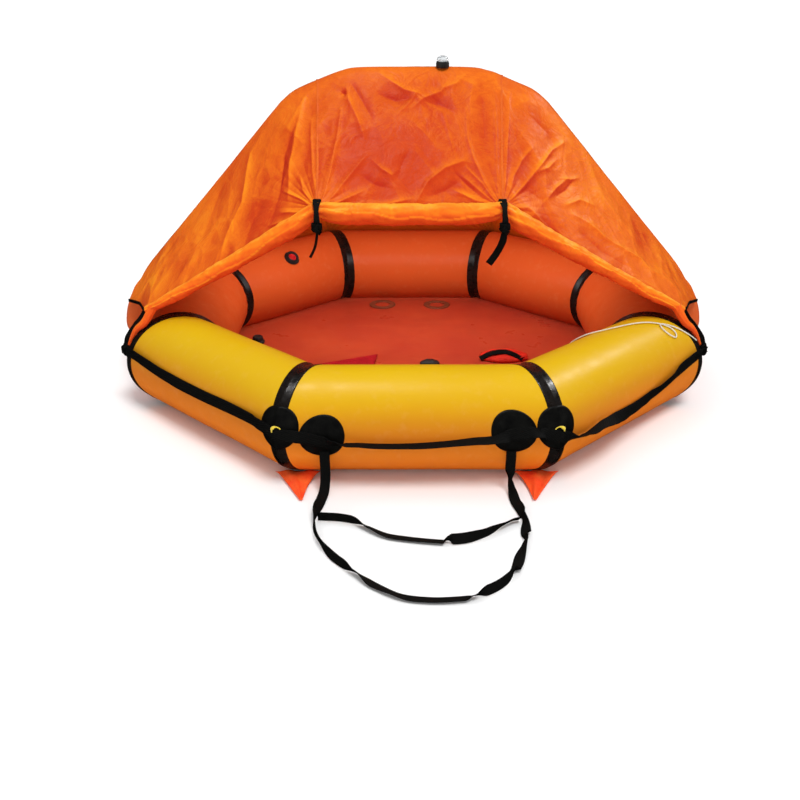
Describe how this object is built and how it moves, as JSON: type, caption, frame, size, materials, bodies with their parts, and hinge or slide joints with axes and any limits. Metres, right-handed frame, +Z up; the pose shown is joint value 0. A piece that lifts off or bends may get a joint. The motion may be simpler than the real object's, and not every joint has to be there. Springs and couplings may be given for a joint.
{
  "type": "inflatable life raft",
  "caption": "Inflated octagonal life raft with a taped tube ring, pitched canopy with a rolled-up door, lifeline, boarding ladder and ballast pockets.",
  "frame": {"origin": "on the ground, under the centre of the tube ring", "axes": "+Z up; -Y out of the door, over the boarding ladder; +X to the right of someone who looks in at the door"},
  "size_m": [2.0708, 2.4794, 1.0841],
  "materials": {
    "tube_yellow": "satin coated fabric",
    "tube_orange": "satin coated fabric",
    "seam_tape": "glossy seam tape",
    "canopy": "light waterproof nylon",
    "floor": "coated floor fabric",
    "patch": "matt rubberised fabric",
    "webbing": "woven webbing",
    "pocket": "coated fabric",
    "lens": "clear plastic",
    "valve_black": "moulded",
    "pouch": "coated fabric",
    "lanyard": "braided cord",
    "cylinder": "painted steel",
    "cylinder_head": "machined",
    "hose": "matt"
  },
  "bodies": {
    "root": {"arch_tube": "tube_orange", "ballast_pocket_back_left": "pocket", "ballast_pocket_back_right": "pocket", "ballast_pocket_front_left": "pocket", "ballast_pocket_front_right": "pocket", "canopy_back": "canopy", "canopy_back_left": "canopy", "canopy_back_right": "canopy", "canopy_front": "canopy", "canopy_front_left": "canopy", "canopy_front_right": "canopy", "corner_patch_back_left": "patch", "corner_patch_back_right": "patch", "corner_patch_front_left": "patch", "corner_patch_front_right": "patch", "corner_patch_left_back": "patch", "corner_patch_right_back": "patch", "cylinder_band_left": "webbing", "cylinder_band_right": "webbing", "cylinder_head": "cylinder_head", "door_roll": "canopy", "edge_roll_left": "canopy", "edge_roll_right": "canopy", "equipment_pouch": "pouch", "floor_valve": "valve_black", "gas_cylinder": "cylinder", "inflation_hose": "hose", "ladder_loop": "webbing", "ladder_patch_left": "patch", "ladder_patch_right": "patch", "ladder_upper_rung": "webbing", "lanyard": "lanyard", "lashing_left": "webbing", "lashing_right": "webbing", "lifeline_back": "webbing", "lifeline_front": "webbing", "light_base": "valve_black", "light_lens": "lens", "raft_floor": "floor", "seam_tape_back_left": "seam_tape", "seam_tape_back_right": "seam_tape", "seam_tape_front_left": "seam_tape", "seam_tape_front_right": "seam_tape", "seam_tape_left_back": "seam_tape", "seam_tape_left_front": "seam_tape", "seam_tape_right_back": "seam_tape", "seam_tape_right_front": "seam_tape", "tie_left": "webbing", "tie_right": "webbing", "tube_back": "tube_orange", "tube_back_left": "tube_orange", "tube_back_right": "tube_orange", "tube_front": "tube_yellow", "tube_front_left": "tube_yellow", "tube_front_right": "tube_yellow", "tube_left": "tube_orange", "tube_right": "tube_orange", "tube_valve": "valve_black"}
  },
  "joints": []
}
